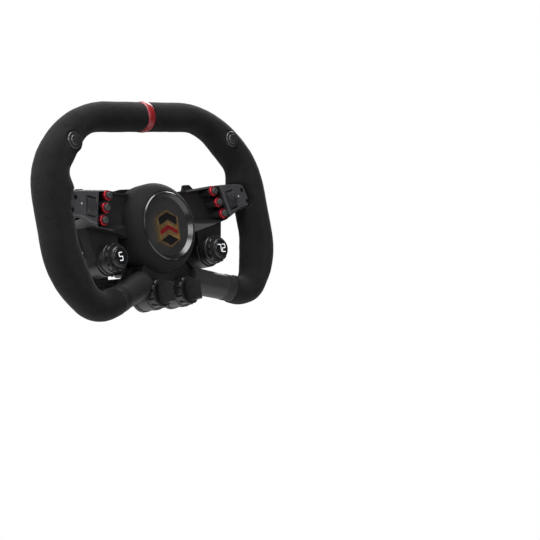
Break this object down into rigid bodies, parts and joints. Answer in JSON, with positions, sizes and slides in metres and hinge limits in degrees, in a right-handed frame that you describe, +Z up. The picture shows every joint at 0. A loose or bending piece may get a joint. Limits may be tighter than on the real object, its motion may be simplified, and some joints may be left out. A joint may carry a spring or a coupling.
{
  "type": "racing wheel",
  "caption": "Handheld steering wheel for racing games: flat-bottomed suede rim, round hub badge, thumb rollers, buttons, display dials, selectors, rear paddles and quick release.",
  "frame": {"origin": "centre of the quick release's mating face, on the steering axis", "axes": "+X to the driver's right, +Y away from the driver along the steering axis, +Z up"},
  "size_m": [0.29, 0.0846, 0.1985],
  "materials": {
    "suede": "napped suede",
    "mark_red": "gloss red",
    "frame_aluminium": "machined",
    "spoke_black": "satin black",
    "moulded_black": "satin moulded",
    "panel_graphite": "satin graphite",
    "soft_touch": "napped suede",
    "ring_gloss": "dark gloss",
    "plate_satin": "satin",
    "emblem_gold": "polished",
    "collar_rubber": "ribbed",
    "anodised_red": "anodised",
    "cap_grey": "satin",
    "knob_black": "satin",
    "lens_dark": "glossy",
    "board_green": "circuit board",
    "switch_black": "moulded",
    "steel": "ground",
    "screw_black": "black oxide",
    "paddle_carbon": "carbon fibre",
    "anodised_black": "anodised",
    "contact_brass": "plated"
  },
  "bodies": {
    "wheel": {"arm_housing_left": "moulded_black", "arm_housing_right": "moulded_black", "badge_emblem": "emblem_gold", "badge_plate": "plate_satin", "badge_ring": "ring_gloss", "button_barrels": "moulded_black", "button_rings": "anodised_red", "button_switches": "switch_black", "centre_mark": "mark_red", "connector_puck": "contact_brass", "dial_base_rings": "moulded_black", "dial_encoders": "switch_black", "display_lenses": "lens_dark", "display_pod_left": "moulded_black", "display_pod_right": "moulded_black", "face_panel_left": "panel_graphite", "face_panel_right": "panel_graphite", "flange_bolts": "screw_black", "grip_collars": "collar_rubber", "hub_core": "moulded_black", "hub_dome": "soft_touch", "lower_tube_left": "moulded_black", "lower_tube_right": "moulded_black", "main_board": "board_green", "paddle_magnets": "steel", "paddle_module": "moulded_black", "paddle_pins": "steel", "panel_screws": "screw_black", "qr_balls": "steel", "qr_body": "anodised_black", "qr_spring": "steel", "rim_frame": "frame_aluminium", "rim_grip": "suede", "roller_axles": "steel", "selector_bases": "moulded_black", "selector_housing": "moulded_black", "selector_switches": "switch_black", "spoke_plate": "spoke_black", "spoke_screws": "screw_black", "thumb_bezels": "moulded_black"},
    "thumb_button_left": {"thumb_button_left": "cap_grey"},
    "face_button_left_1": {"face_button_left_1": "cap_grey"},
    "face_button_left_2": {"face_button_left_2": "cap_grey"},
    "face_button_left_3": {"face_button_left_3": "cap_grey"},
    "thumb_roller_left": {"thumb_roller_left": "knob_black"},
    "dial_left": {"dial_left": "knob_black"},
    "selector_left": {"selector_left": "knob_black"},
    "shift_paddle_left": {"shift_paddle_left": "paddle_carbon"},
    "clutch_paddle_left": {"clutch_paddle_left": "paddle_carbon"},
    "thumb_button_right": {"thumb_button_right": "cap_grey"},
    "face_button_right_1": {"face_button_right_1": "cap_grey"},
    "face_button_right_2": {"face_button_right_2": "cap_grey"},
    "face_button_right_3": {"face_button_right_3": "cap_grey"},
    "thumb_roller_right": {"thumb_roller_right": "knob_black"},
    "dial_right": {"dial_right": "knob_black"},
    "selector_right": {"selector_right": "knob_black"},
    "shift_paddle_right": {"shift_paddle_right": "paddle_carbon"},
    "clutch_paddle_right": {"clutch_paddle_right": "paddle_carbon"},
    "qr_sleeve": {"qr_sleeve": "anodised_black"}
  },
  "joints": [
    {"name": "thumb_button_left_press", "type": "slide", "parent": "wheel", "child": "thumb_button_left", "axis": [0, 1, 0], "range_m": [0, 0.0012], "stiffness_N_per_m": 400},
    {"name": "face_button_left_1_press", "type": "slide", "parent": "wheel", "child": "face_button_left_1", "axis": [0, 1, 0], "range_m": [0, 0.001], "stiffness_N_per_m": 400},
    {"name": "face_button_left_2_press", "type": "slide", "parent": "wheel", "child": "face_button_left_2", "axis": [0, 1, 0], "range_m": [0, 0.001], "stiffness_N_per_m": 400},
    {"name": "face_button_left_3_press", "type": "slide", "parent": "wheel", "child": "face_button_left_3", "axis": [0, 1, 0], "range_m": [0, 0.001], "stiffness_N_per_m": 400},
    {"name": "thumb_roller_left_turn", "type": "hinge", "parent": "wheel", "child": "thumb_roller_left", "pos_m": [-0.0919, -0.0694, 0.0216], "axis": [-0.9703, 0, 0.2419], "continuous": true},
    {"name": "dial_left_turn", "type": "hinge", "parent": "wheel", "child": "dial_left", "pos_m": [-0.0662, -0.077, -0.0246], "axis": [0, 1, 0], "continuous": true},
    {"name": "selector_left_turn", "type": "hinge", "parent": "wheel", "child": "selector_left", "pos_m": [-0.018, -0.0656, -0.061], "axis": [0, 1, 0], "range_deg": [-150, 150]},
    {"name": "shift_paddle_left_pull", "type": "hinge", "parent": "wheel", "child": "shift_paddle_left", "pos_m": [-0.0405, -0.036, 0.018], "axis": [0, 0, 1], "range_deg": [0, 5], "stiffness_Nm_per_rad": 1.2},
    {"name": "clutch_paddle_left_pull", "type": "hinge", "parent": "wheel", "child": "clutch_paddle_left", "pos_m": [-0.0405, -0.036, -0.018], "axis": [0, 0, 1], "range_deg": [0, 10], "stiffness_Nm_per_rad": 1.2},
    {"name": "thumb_button_right_press", "type": "slide", "parent": "wheel", "child": "thumb_button_right", "axis": [0, 1, 0], "range_m": [0, 0.0012], "stiffness_N_per_m": 400},
    {"name": "face_button_right_1_press", "type": "slide", "parent": "wheel", "child": "face_button_right_1", "axis": [0, 1, 0], "range_m": [0, 0.001], "stiffness_N_per_m": 400},
    {"name": "face_button_right_2_press", "type": "slide", "parent": "wheel", "child": "face_button_right_2", "axis": [0, 1, 0], "range_m": [0, 0.001], "stiffness_N_per_m": 400},
    {"name": "face_button_right_3_press", "type": "slide", "parent": "wheel", "child": "face_button_right_3", "axis": [0, 1, 0], "range_m": [0, 0.001], "stiffness_N_per_m": 400},
    {"name": "thumb_roller_right_turn", "type": "hinge", "parent": "wheel", "child": "thumb_roller_right", "pos_m": [0.0919, -0.0694, 0.0216], "axis": [0.9703, 0, 0.2419], "continuous": true},
    {"name": "dial_right_turn", "type": "hinge", "parent": "wheel", "child": "dial_right", "pos_m": [0.0662, -0.077, -0.0246], "axis": [0, 1, 0], "continuous": true},
    {"name": "selector_right_turn", "type": "hinge", "parent": "wheel", "child": "selector_right", "pos_m": [0.018, -0.0656, -0.061], "axis": [0, 1, 0], "range_deg": [-150, 150]},
    {"name": "shift_paddle_right_pull", "type": "hinge", "parent": "wheel", "child": "shift_paddle_right", "pos_m": [0.0405, -0.036, 0.018], "axis": [0, 0, -1], "range_deg": [0, 5], "stiffness_Nm_per_rad": 1.2},
    {"name": "clutch_paddle_right_pull", "type": "hinge", "parent": "wheel", "child": "clutch_paddle_right", "pos_m": [0.0405, -0.036, -0.018], "axis": [0, 0, -1], "range_deg": [0, 10], "stiffness_Nm_per_rad": 1.2},
    {"name": "qr_sleeve_release", "type": "slide", "parent": "wheel", "child": "qr_sleeve", "axis": [0, -1, 0], "range_m": [0, 0.004], "stiffness_N_per_m": 1500}
  ]
}
